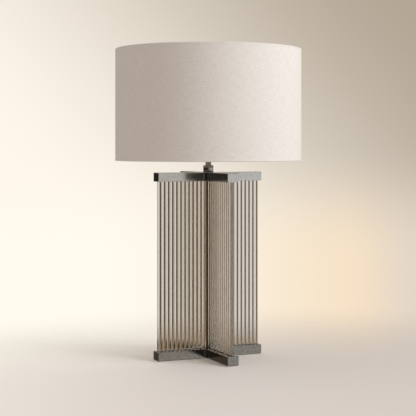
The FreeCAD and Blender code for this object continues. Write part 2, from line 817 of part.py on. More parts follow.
def switch_key():
    """Shaft of the rotary switch, and its flat key, pointing along -Y."""
    shaft = new_body("switch_shaft")
    sketch = new_sketch(shaft, "rod", "XZ_Plane", "Sizes.shaft_root + Sizes.shaft_end_gap")
    length = "Derived.key_root + Sizes.key_socket - Sizes.shaft_root - Sizes.shaft_end_gap"
    pad(shaft, draw_circle(sketch, "Sizes.shaft_diameter / 2"), length)
    place(shaft, z="Derived.switch_axis")
    keep(shaft, "switch_shaft")

    key = new_body("switch_key")
    sketch = new_sketch(key, "boss", "XZ_Plane", "Derived.key_root")
    draw_polygon(sketch, "Sizes.key_boss_diameter / 2", "Sizes.turned_sides")
    pad(key, sketch, "Sizes.key_boss_length")
    half, near = "Sizes.key_width / 2", "-(Derived.key_root + Sizes.key_boss_length)"
    far, corner = "-(Derived.key_root + Sizes.key_length)", "Sizes.key_corner"
    right = [(half, near), (half, "%s + %s" % (far, corner)), (half + " - " + corner, far)]
    blade = draw(new_sketch(key, "blade"), right + backwards(mirrored(right)))
    pad(key, blade, "Sizes.key_thickness", both_sides=True)
    sketch = new_sketch(key, "shaft_socket", "XZ_Plane", "Derived.key_root")
    draw_circle(sketch, "Sizes.shaft_diameter / 2")
    pocket(key, sketch, "Sizes.key_socket", along_normal=True)
    place(key, z="Derived.switch_axis")
    keep(key, "switch_key")


def bulb():
    """Tubular bulb: screw cap with its tip, and the glass."""
    cap = "Sizes.bulb_cap_diameter / 2"
    screw = new_body("bulb_screw")
    many_sided(screw, "tip", "Sizes.bulb_tip_diameter / 2", "Sizes.bulb_tip_height")
    barrel = draw_circle(new_sketch(screw, "barrel", lift="Sizes.bulb_tip_height"), cap)
    pad(screw, barrel, "Sizes.bulb_cap_height - Sizes.bulb_tip_height")
    place(screw, z="Derived.bulb_floor")
    keep(screw, "bulb_screw")

    glass = new_body("bulb_glass")
    length = "Sizes.bulb_length - Sizes.bulb_cap_height - Sizes.bulb_neck_height"
    shoulder = "Sizes.bulb_neck_height"
    many_sided(glass, "tube", "Sizes.bulb_diameter / 2", length, shoulder)
    bevel_level(glass, "Sizes.bulb_shoulder_bevel", shoulder)
    bevel_level(glass, "Sizes.bulb_crown_bevel", "%s + %s" % (shoulder, length))
    many_sided(glass, "neck", "Sizes.bulb_neck_diameter / 2", shoulder)
    place(glass, z="Derived.bulb_floor + Sizes.bulb_cap_height")
    keep(glass, "bulb_glass")


# ---------------------------------------------------------------- shade


def shade():
    """Cloth-covered drum, and the hoop inside each of its edges."""
    wall = "Sizes.shade_diameter / 2"
    drum = ring("shade_drum", wall, wall + " - Sizes.shade_wall", "Sizes.shade_height")
    place(drum, z="Derived.shade_floor")
    outside, inside = "Derived.hoop_outside", "Derived.hoop_inside"
    for name, floor in (
        ("top", "Derived.top_hoop_floor"),
        ("bottom", "Derived.shade_floor + Sizes.hoop_inset"),
    ):
        label = "shade_hoop_" + name
        hoop = prism_ring(label, "Sizes.hoop_sides", outside, inside, "Sizes.hoop_section")
        place(hoop, z=floor)


def spider():
    """Plate that slips over the harp's stud, and the arms out to the top hoop."""
    hub = new_body("spider_hub")
    many_sided(hub, "outline", "Sizes.hub_diameter / 2", "Sizes.hub_thickness")
    hub_hole = "Sizes.stud_diameter / 2 + Sizes.hub_clearance"
    hole(hub, "stud_hole", hub_hole, "Sizes.hub_thickness")
    place(hub, z="Derived.hub_top - Sizes.hub_thickness")
    keep(hub, "spider_hub")

    body = new_body("spider_arms")
    thick, bend = "Sizes.spider_wire", "Sizes.spider_bend"
    root = "Sizes.finial_foot_diameter / 2 + Sizes.spider_root_gap"
    tip = "Sizes.shade_diameter / 2 - Sizes.shade_wall - Sizes.spider_wall_gap"
    inner, turn = "%s - %s" % (tip, thick), "%s - %s" % (tip, bend)
    top = "Derived.top_hoop_floor - Derived.hub_top"
    corners = [
        (root, "0"),
        (turn, "0", bend, "left"),
        (tip, bend),
        (tip, top),
        (inner, top),
        (inner, bend, "%s - %s" % (bend, thick), "right"),
        (turn, thick),
        (root, thick),
    ]
    sketch = draw(new_sketch(body, "arm", "XZ_Plane"), corners)
    arm = pad(body, sketch, thick, both_sides=True)
    copies_about_z(body, arm, "Sizes.spider_arms")
    body.setExpression("Placement.Rotation.Angle", "Sizes.spider_turn * 1 deg")
    place(body, z="Derived.hub_top")
    keep(body, "spider_arms")


def finial():
    """Knob that screws down on the shade's hub."""
    body = new_body("finial")
    neck_top = "Sizes.finial_neck_height"
    knob = "Sizes.finial_height - " + neck_top
    many_sided(body, "knob", "Sizes.finial_knob_diameter / 2", knob, neck_top)
    for level in (neck_top, "Sizes.finial_height"):
        bevel_level(body, "Sizes.finial_knob_bevel", level)
    many_sided(body, "neck", "Sizes.finial_neck_diameter / 2", neck_top)
    many_sided(body, "foot", "Sizes.finial_foot_diameter / 2", "Sizes.finial_foot_height")
    bore = "Sizes.stud_diameter / 2 + Sizes.finial_clearance"
    hole(body, "thread", bore, "Sizes.finial_bore_depth")
    place(body, z="Derived.hub_top")
    keep(body, "finial")


# ---------------------------------------------------------------- build

base_cross()
felt_sole()
cable_bushing()
top_cross()
rod_gasket("lower_rod_gasket", "Derived.base_top - Derived.groove_depth")
rod_gasket("upper_rod_gasket", "Derived.top_floor + Sizes.rod_seat_depth")
rod_row("right", True, 1)
rod_row("left", True, -1)
rod_row("back", False, 1)
rod_row("front", False, -1)
clamping()
neck()
harp_saddle()
harp()
harp_stud()
harp_sleeves()
socket_cap()
socket_shell()
socket_insert()
switch_key()
bulb()
shade()
spider()
finial()
doc.recompute()

for item in doc.Objects:
    if "Invalid" in item.State or "Error" in item.State:
        raise RuntimeError("%s failed to build" % item.Name)
for node in NODES:
    if node.Shape.isNull() or not node.Shape.isValid() or node.Shape.Volume <= 0:
        raise RuntimeError("%s has no valid solid" % node.Label)

os.makedirs("parts", exist_ok=True)
for node in NODES:
    node.Shape.exportStep("parts/%s.step" % node.Label)
print("%d sub-parts written" % len(NODES))
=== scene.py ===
import json
import math

import bmesh
import bpy
from mathutils import Matrix, Vector


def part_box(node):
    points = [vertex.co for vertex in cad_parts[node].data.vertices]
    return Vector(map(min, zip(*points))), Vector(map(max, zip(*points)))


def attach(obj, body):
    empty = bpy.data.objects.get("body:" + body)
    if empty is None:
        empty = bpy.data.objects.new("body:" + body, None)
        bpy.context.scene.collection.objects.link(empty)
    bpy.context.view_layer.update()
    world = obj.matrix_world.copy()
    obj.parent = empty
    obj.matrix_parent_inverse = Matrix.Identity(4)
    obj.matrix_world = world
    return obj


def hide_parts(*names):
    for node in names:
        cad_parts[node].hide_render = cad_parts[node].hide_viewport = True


# Column table lamp.  Metres, +Z up, origin on the table under the column.

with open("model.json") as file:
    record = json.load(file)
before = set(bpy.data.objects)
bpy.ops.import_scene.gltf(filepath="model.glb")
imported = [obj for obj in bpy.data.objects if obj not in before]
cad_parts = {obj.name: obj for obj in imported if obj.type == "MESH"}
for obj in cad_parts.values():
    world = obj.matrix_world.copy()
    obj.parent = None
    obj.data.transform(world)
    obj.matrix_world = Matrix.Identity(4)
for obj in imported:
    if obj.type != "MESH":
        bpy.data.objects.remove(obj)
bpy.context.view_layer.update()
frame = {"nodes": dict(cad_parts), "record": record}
NODES = frame["nodes"]

MM = 0.001

# ---------------------------------------------------------------- materials


def new_material(name):
    material = bpy.data.materials.new(name)
    material.use_nodes = True
    tree = material.node_tree
    return material, tree, tree.nodes["Principled BSDF"]


def add(tree, kind, inputs=None, **settings):
    """New node with some of its sockets and settings filled in."""
    node = tree.nodes.new("ShaderNode" + kind)
    for name, value in settings.items():
        setattr(node, name, value)
    for name, value in (inputs or {}).items():
        if isinstance(value, bpy.types.NodeSocket):
            tree.links.new(value, node.inputs[name])
        else:
            node.inputs[name].default_value = value
    return node


def plug(tree, source, shader, socket):
    tree.links.new(source, shader.inputs[socket])


def ramp(tree, source, stops):
    """Colour ramp through (position, colour) stops."""
    node = add(tree, "ValToRGB", {"Fac": source})
    elements = node.color_ramp.elements
    while len(elements) < len(stops):
        elements.new(0.5)
    for element, (position, colour) in zip(elements, stops):
        element.position = position
        element.color = (*colour, 1)
    return node.outputs["Color"]


def stretched(tree, scale, source="Object"):
    """Coordinates scaled apart along X, Y and Z, so that noise is drawn out."""
    coordinates = add(tree, "TexCoord").outputs[source]
    return add(tree, "Mapping", {"Vector": coordinates, "Scale": scale}).outputs["Vector"]


def noise(tree, vector, scale, detail=3.0, roughness=0.5):
    inputs = {"Vector": vector, "Scale": scale, "Detail": detail, "Roughness": roughness}
    return add(tree, "TexNoise", inputs).outputs["Fac"]


def bump(tree, shader, height, distance, strength=1.0):
    inputs = {"Height": height, "Distance": distance, "Strength": strength}
    plug(tree, add(tree, "Bump", inputs).outputs["Normal"], shader, "Normal")


def span(tree, source, low, high):
    """Map 0..1 to low..high."""
    inputs = {"Value": source, "To Min": low, "To Max": high}
    return add(tree, "MapRange", inputs).outputs["Result"]


def eased(tree, source, low, high):
    """0 below low, 1 above high, smooth between."""
    inputs = {"Value": source, "From Min": low, "From Max": high}
    return add(tree, "MapRange", inputs, interpolation_type="SMOOTHSTEP").outputs["Result"]


def mixed(tree, factor, first, second):
    return add(tree, "Mix", {0: factor, 6: first, 7: second}, data_type="RGBA").outputs[2]


def vector_value(tree, operation, first, second):
    """Dot product of two vectors or distance between them."""
    inputs = {0: first, 1: second}
    return add(tree, "VectorMath", inputs, operation=operation).outputs["Value"]


def metal(name, dark, light, roughness, grain, mottle=28.0):
    """Plated or bare metal; grain is the scale of its scratches along each
    axis, and mottle that of its change of tone."""
    material, tree, shader = new_material(name)
    shader.inputs["Metallic"].default_value = 1
    lines = noise(tree, stretched(tree, grain), 1.0, 5)
    clouds = noise(tree, stretched(tree, (1, 1, 1)), mottle, 3)
    plug(tree, ramp(tree, clouds, [(0.3, dark), (0.7, light)]), shader, "Base Color")
    plug(tree, span(tree, lines, roughness[0], roughness[1]), shader, "Roughness")
    bump(tree, shader, lines, SCRATCH_DEPTH)
    return material


def plain(name, dark, light, roughness, scale, depth):
    """Non-metal with a mottled colour and a fine surface."""
    material, tree, shader = new_material(name)
    mottle = noise(tree, stretched(tree, (1, 1, 1)), scale, 4)
    plug(tree, ramp(tree, mottle, [(0.3, dark), (0.7, light)]), shader, "Base Color")
    plug(tree, span(tree, mottle, roughness[0], roughness[1]), shader, "Roughness")
    bump(tree, shader, mottle, depth)
    for socket, value in CONSTANTS.get(name, {}).items():
        shader.inputs[socket].default_value = value
    return material


def rod_glass():
    """Smoky clear glass whose rims are painted darker, dark brown where the surface is seen
    edge-on: painted shade for the dark surroundings seen through the rods' edges.
    """
    material, tree, shader = new_material("smoked_glass")
    facing = add(tree, "LayerWeight", {"Blend": 0.5}).outputs["Facing"]
    # smoky tint in the middle, and painted shade that darkens the rims towards grazing view
    smoke_and_rim_shade = ramp(
        tree,
        facing,
        [
            (0.0, (0.90, 0.90, 0.90)),
            (0.40, (0.89, 0.87, 0.84)),
            (0.62, (0.80, 0.69, 0.55)),
            (0.92, (0.46, 0.32, 0.17)),
        ],
    )
    plug(tree, smoke_and_rim_shade, shader, "Base Color")
    draw_lines = noise(tree, stretched(tree, (900, 900, 6)), 1.0, 2)
    plug(tree, span(tree, draw_lines, 0.0, 0.05), shader, "Roughness")
    bump(tree, shader, draw_lines, 1e-5)
    shader.inputs["Transmission Weight"].default_value = 1
    shader.inputs["IOR"].default_value = 1.45
    return material


def linen():
    """Slubby plain weave; the UV map runs in metres round and up the drum."""
    material, tree, shader = new_material("linen")
    cloth = add(tree, "UVMap", uv_map="cloth").outputs["UV"]
    threads = []
    for direction in ("X", "Y"):
        wave = add(
            tree,
            "TexWave",
            {
                "Vector": cloth,
                "Scale": THREADS_SCALE,
                "Distortion": 1.4,
                "Detail": 2.0,
                "Detail Scale": 1.2,
            },
            bands_direction=direction,
        )
        threads.append(wave.outputs["Fac"])
    weave = add(tree, "Math", {0: threads[0], 1: threads[1]}, operation="MULTIPLY").outputs[0]
    slubs = []
    for scale in ((55, 900, 1), (900, 70, 1)):
        drawn = add(tree, "Mapping", {"Vector": cloth, "Scale": scale}).outputs["Vector"]
        slubs.append(noise(tree, drawn, 1.0, 4, 0.6))
    slub = add(tree, "Math", {0: slubs[0], 1: slubs[1]}, operation="ADD").outputs[0]
    tone = add(tree, "Math", {0: slub, 1: 0.5}, operation="MULTIPLY").outputs[0]
    colour = ramp(
        tree,
        tone,
        [
            (0.34, (0.66, 0.62, 0.58)),
            (0.50, (0.775, 0.755, 0.735)),
            (0.66, (0.86, 0.85, 0.84)),
        ],
    )
    # painted shade: the gaps between the threads are darkened
    shaded = mixed(tree, span(tree, weave, 0.35, 0.0), colour, THREAD_GAP_SHADE)
    plug(tree, shaded, shader, "Base Color")
    plug(tree, span(tree, tone, 0.75, 0.95), shader, "Roughness")
    relief = add(tree, "Math", {0: weave, 1: slub}, operation="ADD").outputs[0]
    bump(tree, shader, relief, 2e-4, 0.7)
    shader.inputs["Sheen Weight"].default_value = 0.25
    shader.inputs["Sheen Roughness"].default_value = 0.5
    shader.inputs["Specular IOR Level"].default_value = 0.2
    return material


SCRATCH_DEPTH = 2e-5
THREADS_SCALE = 340.0
# colour of the painted shade between the threads
THREAD_GAP_SHADE = (0.56, 0.52, 0.48, 1)
EVEN_GRAIN, TURNED_GRAIN = (900, 900, 900), (60, 60, 2500)
SATIN_MOTTLE = 320.0
GUNMETAL = ((0.26, 0.25, 0.24), (0.34, 0.33, 0.32), (0.10, 0.22), TURNED_GRAIN)
# slot: darkest and lightest colour, range of roughness, grain, mottle
METALS = {
    # base_metal and top_metal are one satin metal in two tones: the base's darker copy is painted
    # shade on the lower cross
    "base_metal": (
        (0.15, 0.14, 0.128),
        (0.25, 0.235, 0.22),
        (0.10, 0.18),
        EVEN_GRAIN,
        SATIN_MOTTLE,
    ),
    "top_metal": (
        (0.37, 0.36, 0.35),
        (0.47, 0.465, 0.455),
        (0.10, 0.20),
        EVEN_GRAIN,
        SATIN_MOTTLE,
    ),
    "neck_metal": GUNMETAL,
    "tube_metal": ((0.05, 0.045, 0.04), (0.08, 0.07, 0.065), (0.10, 0.20), (900, 900, 20)),
    "zinc_steel": ((0.45, 0.46, 0.46), (0.62, 0.62, 0.60), (0.25, 0.45), (500, 500, 500)),
    "harp_metal": ((0.50, 0.49, 0.47), (0.62, 0.61, 0.59), (0.15, 0.30), (900, 900, 90)),
    "holder_metal": ((0.48, 0.34, 0.14), (0.66, 0.49, 0.24), (0.18, 0.34), (120, 120, 2500)),
    "contact_brass": ((0.55, 0.39, 0.16), (0.72, 0.54, 0.28), (0.15, 0.3), (900, 90, 900)),
    "bulb_cap_metal": ((0.62, 0.62, 0.63), (0.80, 0.80, 0.81), (0.18, 0.35), (300, 300, 300)),
    "finial_metal": GUNMETAL,
}
# slot: darkest and lightest colour, range of roughness, mottle, surface depth
PLAINS = {
    "gasket_rubber": ((0.01, 0.01, 0.01), (0.03, 0.03, 0.03), (0.6, 0.8), 400, 5e-5),
    "felt": ((0.02, 0.018, 0.016), (0.07, 0.06, 0.055), (0.85, 1.0), 900, 2e-4),
    "bushing_plastic": ((0.015, 0.015, 0.015), (0.03, 0.03, 0.03), (0.35, 0.5), 500, 5e-5),
    "holder_core": ((0.70, 0.68, 0.62), (0.84, 0.82, 0.76), (0.12, 0.25), 120, 1e-5),
    "switch_plastic": ((0.012, 0.012, 0.012), (0.03, 0.028, 0.026), (0.25, 0.4), 300, 5e-5),
    "bulb_glass": ((0.78, 0.77, 0.73), (0.88, 0.87, 0.84), (0.3, 0.4), 60, 1e-5),
    "shade_liner": ((0.78, 0.76, 0.72), (0.84, 0.82, 0.78), (0.4, 0.55), 40, 2e-5),
    "shade_wire": ((0.70, 0.68, 0.64), (0.82, 0.80, 0.76), (0.3, 0.45), 300, 3e-5),
}
CONSTANTS = {"felt": {"Sheen Weight": 0.4}, "bulb_glass": {"Subsurface Weight": 0.2}}

MATERIALS = {"smoked_glass": rod_glass(), "shade_cloth": linen()}
MATERIALS.update({slot: metal(slot, *values) for slot, values in METALS.items()})
MATERIALS.update({slot: plain(slot, *values) for slot, values in PLAINS.items()})

# ---------------------------------------------------------------- mesh tools


def finish_piece(name, mesh, body, slot, replaced=(), smooth_angle=40):
    """Object from a mesh, with its material, body and the nodes it replaces."""
    mesh.materials.append(MATERIALS[slot])
    mesh.shade_smooth()
    mesh.set_sharp_from_angle(angle=math.radians(smooth_angle))
    piece = bpy.data.objects.new(name, mesh)
    bpy.context.scene.collection.objects.link(piece)
    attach(piece, body)
    if replaced:
        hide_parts(*replaced)
    return piece


def lathe_mesh(name, profile, segments=64, shift=lambda turn, height: 0.0, closed=True):
    """Mesh turned about Z from (radius, height) points; shift moves the
    radius at a turn and height, which a thread needs."""
    rows = []
    build = bmesh.new()
    for radius, height in profile:
        if radius < 1e-9:
            rows.append([build.verts.new((0, 0, height))])
            continue
        row = []
        for step in range(segments):
            turn = 2 * math.pi * step / segments
            reach = radius + shift(turn, height)
            row.append(build.verts.new((reach * math.cos(turn), reach * math.sin(turn), height)))
        rows.append(row)
    pairs = list(zip(rows, rows[1:]))
    if closed:
        pairs.append((rows[-1], rows[0]))
    for lower, upper in pairs:
        if len(lower) == 1 and len(upper) == 1:
            continue
        for step in range(segments):
            after = (step + 1) % segments
            if len(lower) == 1:
                corners = (lower[0], upper[after], upper[step])
            elif len(upper) == 1:
                corners = (lower[step], lower[after], upper[0])
            else:
                corners = (lower[step], lower[after], upper[after], upper[step])
            build.faces.new(corners)
    bmesh.ops.recalc_face_normals(build, faces=build.faces)
    mesh = bpy.data.meshes.new(name)
    build.to_mesh(mesh)
    build.free()
    return mesh


def arc(centre, radius, start, end, steps):
    """Points of an arc in the profile plane; angles in degrees."""
    points = []
    for step in range(steps + 1):
        turn = math.radians(start + (end - start) * step / steps)
        points.append((centre[0] + radius * math.cos(turn), centre[1] + radius * math.sin(turn)))
    return points


def tube_mesh(name, path, radius):
    """Round wire along a path of points, with flat ends."""
    curve = bpy.data.curves.new(name + "_path", "CURVE")
    curve.dimensions = "3D"
    spline = curve.splines.new("POLY")
    spline.points.add(len(path) - 1)
    for point, place in zip(spline.points, path):
        point.co = (*place, 1)
    curve.bevel_depth = radius
    curve.bevel_resolution = 4
    curve.use_fill_caps = True
    carrier = bpy.data.objects.new(name + "_path", curve)
    bpy.context.scene.collection.objects.link(carrier)
    bpy.context.view_layer.update()
    graph = bpy.context.evaluated_depsgraph_get()
    mesh = bpy.data.meshes.new_from_object(carrier.evaluated_get(graph))
    bpy.data.objects.remove(carrier)
    mesh.name = name
    return mesh


def joined(name, meshes, places=None):
    """One mesh of several, each moved by its own matrix."""
    build = bmesh.new()
    for index, mesh in enumerate(meshes):
        copy = mesh.copy()
        if places:
            copy.transform(places[index])
        build.from_mesh(copy)
        bpy.data.meshes.remove(copy)
    mesh = bpy.data.meshes.new(name)
    build.to_mesh(mesh)
    build.free()
    return mesh


# ---------------------------------------------------------------- CAD nodes

slot_of = {entry["node"]: entry["material_slot"] for entry in frame["record"]["subparts"]}
# node, width of the softened edge in metres
SOFT_EDGES = {
    "base_cross": 0.7 * MM,
    "top_cross": 0.5 * MM,
    "neck": 0.4 * MM,
    "harp": 0.6 * MM,
    "harp_saddle": 0.4 * MM,
    "harp_sleeve_left": 0.4 * MM,
    "harp_sleeve_right": 0.4 * MM,
    "harp_stud": 0.3 * MM,
    "switch_key": 0.6 * MM,
    "cable_bushing": 0.5 * MM,
    "clamp_nut": 0.3 * MM,
}
for node_name, node in NODES.items():
    node.data.materials.clear()
    node.data.materials.append(MATERIALS[slot_of[node_name]])
    if node_name in SOFT_EDGES:
        weld = node.modifiers.new("weld", "WELD")
        weld.merge_threshold = 1e-5
        bevel = node.modifiers.new("soft_edges", "BEVEL")
        bevel.width = SOFT_EDGES[node_name]
        bevel.segments = 2
        bevel.limit_method = "ANGLE"
        bevel.angle_limit = math.radians(35)

# ---------------------------------------------------------------- glass rods

ROD_PITCH = 9.6 * MM
RODS_PER_ARM = 12


def rod_rows():
    """Smooth round rods with eased ends, in the place of the many-sided ones."""
    for side, axis in (("right", 0), ("left", 0), ("back", 1), ("front", 1)):
        low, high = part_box("glass_rods_" + side)
        across = 1 - axis
        radius = (high[across] - low[across]) / 2
        bottom, top, ease = low[2], high[2], 0.5 * MM
        profile = [
            (0, bottom),
            (radius - ease, bottom),
            (radius, bottom + ease),
            (radius, top - ease),
            (radius - ease, top),
            (0, top),
        ]
        rod = lathe_mesh("rod", profile, 40, closed=False)
        places = []
        for index in range(RODS_PER_ARM):
            spot = [0, 0, 0]
            spot[axis] = low[axis] + radius + index * ROD_PITCH
            places.append(Matrix.Translation(spot))
        mesh = joined("rods_" + side, [rod] * RODS_PER_ARM, places)
        finish_piece("rods_" + side, mesh, "stand", "smoked_glass", ["glass_rods_" + side])


rod_rows()

# ---------------------------------------------------------------- shade

SHADE_LOW, SHADE_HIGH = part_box("shade_drum")
SHADE_RADIUS = (SHADE_HIGH[0] - SHADE_LOW[0]) / 2
SHADE_HEIGHT = SHADE_HIGH[2] - SHADE_LOW[2]
HEM_ROLL = 2.0 * MM
HEM_STEP = 0.45 * MM
HEM_TURN_IN = 12 * MM
CLOTH_THICKNESS, LINER_THICKNESS = 0.4 * MM, 0.6 * MM
SHADE_SEGMENTS = 256


def shade_cloth():
    """Drum of cloth rolled over the hoop at each edge and turned in."""
    wall = SHADE_RADIUS - HEM_STEP
    crest = SHADE_RADIUS - HEM_ROLL
    inside = SHADE_RADIUS - 2 * HEM_ROLL
    half = [(inside, HEM_TURN_IN)]
    half += arc((crest, HEM_ROLL), HEM_ROLL, 180, 360, 12)
    half += [
        (SHADE_RADIUS - 0.1 * MM, 1.6 * HEM_ROLL),
        (wall, 2.1 * HEM_ROLL),
        (wall, 3 * HEM_ROLL),
    ]
    outside = half + [(radius, SHADE_HEIGHT - height) for radius, height in reversed(half)]
    segments = SHADE_SEGMENTS
    mesh = lathe_mesh("shade_cloth", outside, segments, closed=False)
    mesh.transform(Matrix.Translation((0, 0, SHADE_LOW[2])))
    layer = mesh.uv_layers.new(name="cloth")
    along = [0.0]
    for before, after in zip(outside, outside[1:]):
        along.append(along[-1] + math.dist(before, after))
    for face in mesh.polygons:
        corners = [mesh.loops[index] for index in face.loop_indices]
        turns = [corner.vertex_index % segments for corner in corners]
        wraps = max(turns) - min(turns) > 1
        for corner, turn in zip(corners, turns):
            step = turn + segments if wraps and turn == 0 else turn
            around = 2 * math.pi * SHADE_RADIUS * step / segments
            layer.data[corner.index].uv = (around, along[corner.vertex_index // segments])
    cloth = finish_piece("shade_cloth", mesh, "shade", "shade_cloth", ["shade_drum"], 60)
    thickness = cloth.modifiers.new("thickness", "SOLIDIFY")
    thickness.thickness = CLOTH_THICKNESS
    thickness.offset = -1


def shade_liner():
    """Stiff liner behind the cloth, which is bonded to it."""
    outer = SHADE_RADIUS - HEM_STEP - 0.5 * MM
    inner = outer - LINER_THICKNESS
    low, high = SHADE_LOW[2] + 2.1 * HEM_ROLL, SHADE_HIGH[2] - 2.1 * HEM_ROLL
    profile = [(inner, low), (outer, low), (outer, high), (inner, high)]
    mesh = lathe_mesh("shade_liner", profile, SHADE_SEGMENTS)
    finish_piece("shade_liner", mesh, "shade", "shade_liner")


def shade_hoops():
    """Round wire hoop inside each rolled edge."""
    wire = HEM_ROLL - 0.5 * MM
    meshes = []
    for height in (SHADE_LOW[2] + HEM_ROLL, SHADE_HIGH[2] - HEM_ROLL):
        profile = arc((SHADE_RADIUS - HEM_ROLL, height), wire, 0, 330, 11)
        meshes.append(lathe_mesh("hoop", profile, 192))
    mesh = joined("shade_hoops", meshes)
    replaced = ["shade_hoop_top", "shade_hoop_bottom"]
    finish_piece("shade_hoops", mesh, "shade", "shade_wire", replaced, 180)


def spider():
    """Round-wire arms from the hub out and up to the top hoop, and the hub."""
    low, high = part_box("spider_arms")
    wire = 1.6 * MM
    level = low[2] + wire
    reach, bend, root = SHADE_RADIUS - 2 * HEM_ROLL, 7 * MM, 11 * MM
    top = SHADE_HIGH[2] - 2 * HEM_ROLL
    corner = arc((reach - bend, level + bend), bend, 270, 360, 10)
    meshes = []
    for turn in (90, 210, 330):
        direction = Vector((math.cos(math.radians(turn)), math.sin(math.radians(turn)), 0))
        path = [direction * root + Vector((0, 0, level))]
        path += [direction * radius + Vector((0, 0, height)) for radius, height in corner]
        path.append(direction * reach + Vector((0, 0, top)))
        meshes.append(tube_mesh("spider_arm", path, wire))
    mesh = joined("spider_wires", meshes)
    finish_piece("spider_wires", mesh, "shade", "shade_wire", ["spider_arms"])

    low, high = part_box("spider_hub")
    outer, bore = high[0], 3.15 * MM
    bottom, top, ease = low[2], high[2], 0.4 * MM
    profile = [
        (bore, bottom),
        (outer - ease, bottom),
        (outer, bottom + ease),
        (outer, top - ease),
        (outer - ease, top),
        (bore, top),
    ]
    mesh = lathe_mesh("spider_plate", profile, 64)
    finish_piece("spider_plate", mesh, "shade", "shade_wire", ["spider_hub"])


def finial():
    """Turned finial: foot, cove, neck and a rounded knob."""
    low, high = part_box("finial")
    floor, top = low[2], high[2]
    foot, waist, knob, bore = 9 * MM, 4.2 * MM, 8.5 * MM, 3.1 * MM
    profile = [
        (bore, floor),
        (foot - 0.3 * MM, floor),
        (foot, floor + 0.3 * MM),
        (foot, floor + 1.4 * MM),
        (foot - 0.5 * MM, floor + 1.9 * MM),
        (6.2 * MM, floor + 2.8 * MM),
        (4.8 * MM, floor + 4.4 * MM),
    ]
    profile += [(waist, floor + 6.4 * MM), (waist, floor + 8.2 * MM)]
    centre = top - knob
    profile += arc((0, centre), knob, -58, 90, 22)[:-1] + [(0, top)]
    profile += [(0, floor + 15 * MM), (bore, floor + 15 * MM)]
    mesh = lathe_mesh("finial_knob", profile, 64)
    finish_piece("finial_knob", mesh, "finial", "finial_metal", ["finial"])


shade_hoops()
shade_cloth()
shade_liner()
spider()
finial()

# ---------------------------------------------------------------- lampholder and bulb


def socket_cap():
    """Lampholder cap with a rounded shoulder and a seat for the shell."""
    low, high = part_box("socket_cap")
    floor, top = low[2], high[2]
    bore, seat, skirt = 5.05 * MM, 17.05 * MM, 18.1 * MM
    profile = [
        (bore, floor),
        (9.6 * MM, floor),
        (10 * MM, floor + 0.4 * MM),
        (10.4 * MM, floor + 3 * MM),
    ]
    profile += arc((10.4 * MM, floor + 11 * MM), 7.7 * MM, -75, 0, 10)
    profile += [(skirt, top - 0.6 * MM), (skirt - 0.3 * MM, top), (seat, top), (seat, top - 6 * MM)]
    profile += [(bore, top - 6 * MM)]
    mesh = lathe_mesh("holder_cap", profile, 64)
    finish_piece("holder_cap", mesh, "stand", "holder_metal", ["socket_cap"])


def bulb():
    """Bulb cap with its thread, and a tubular frosted glass."""
    low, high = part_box("bulb_screw")
    floor, top = low[2], high[2]
    cap, tip = 13.0 * MM, 4.5 * MM
    pitch, depth = 3.6 * MM, 0.5 * MM
    thread_low, thread_high, rim = floor + 5 * MM, top - 3 * MM, top - 0.3 * MM

    def thread(turn, height):
        if not thread_low <= height <= rim:
            return 0
        if not thread_low < height < thread_high:
            return -depth
        return depth * (math.cos(2 * math.pi * (height - floor) / pitch - turn) - 1)

    profile = [(0, floor), (tip - 1 * MM, floor), (tip, floor + 0.8 * MM), (tip, floor + 1.6 * MM)]
    profile += [(cap - 1.5 * MM, floor + 4.2 * MM)]
    height = thread_low
    while height < thread_high:
        profile.append((cap, height))
        height += pitch / 8
    profile += [(cap, thread_high), (cap, rim), (cap - 0.5 * MM, top), (0, top)]
    mesh = lathe_mesh("bulb_cap", profile, 64, thread, closed=False)
    finish_piece("bulb_cap", mesh, "bulb", "bulb_cap_metal", ["bulb_screw"])

    low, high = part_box("bulb_glass")
    floor, top = low[2], high[2]
    neck, glass = 14 * MM, 19 * MM
    profile = [(0, floor), (neck - 1 * MM, floor), (neck - 1 * MM, floor + 3 * MM)]
    profile += [
        (neck + 1 * MM, floor + 6 * MM),
        (glass - 1.4 * MM, floor + 10 * MM),
        (glass, floor + 15 * MM),
    ]
    profile += arc((glass - 14 * MM, top - 14 * MM), 14 * MM, 0, 90, 14) + [(0, top)]
    mesh = lathe_mesh("bulb_envelope", profile, 64, closed=False)
    finish_piece("bulb_envelope", mesh, "bulb", "bulb_glass", ["bulb_glass"])


socket_cap()
bulb()

# ---------------------------------------------------------------- floor, light and camera

VIEW_TURN = math.radians(24.76)
AHEAD = Vector((math.sin(VIEW_TURN), math.cos(VIEW_TURN), 0))
RIGHT = Vector((math.cos(VIEW_TURN), -math.sin(VIEW_TURN), 0))
UP = Vector((0, 0, 1))
# unlit part of the set, from the left of the backdrop round to the camera,
# and the lit part that the lamp's front faces mirror
DARK_SIDE = math.cos(math.radians(112)) * AHEAD - math.sin(math.radians(112)) * RIGHT
FRONT_RIGHT = Vector((AHEAD.x, -AHEAD.y, 0))
CROSSWISE = Vector((AHEAD.y, AHEAD.x, 0))
# floor colours: painted light, lighter on the left and darker on the right, with a random cloud of
# tone
FLOOR_PAINTED_LIT, FLOOR_PAINTED_SHADE = (0.98, 0.965, 0.96, 1), (0.65, 0.615, 0.595, 1)
FLOOR_CLOUD = (0.60, 0.56, 0.53, 1)
FLOOR_MIDDLE = -0.45 * AHEAD + 0.25 * RIGHT
FLOOR_FADE = (0.3, 1.3)

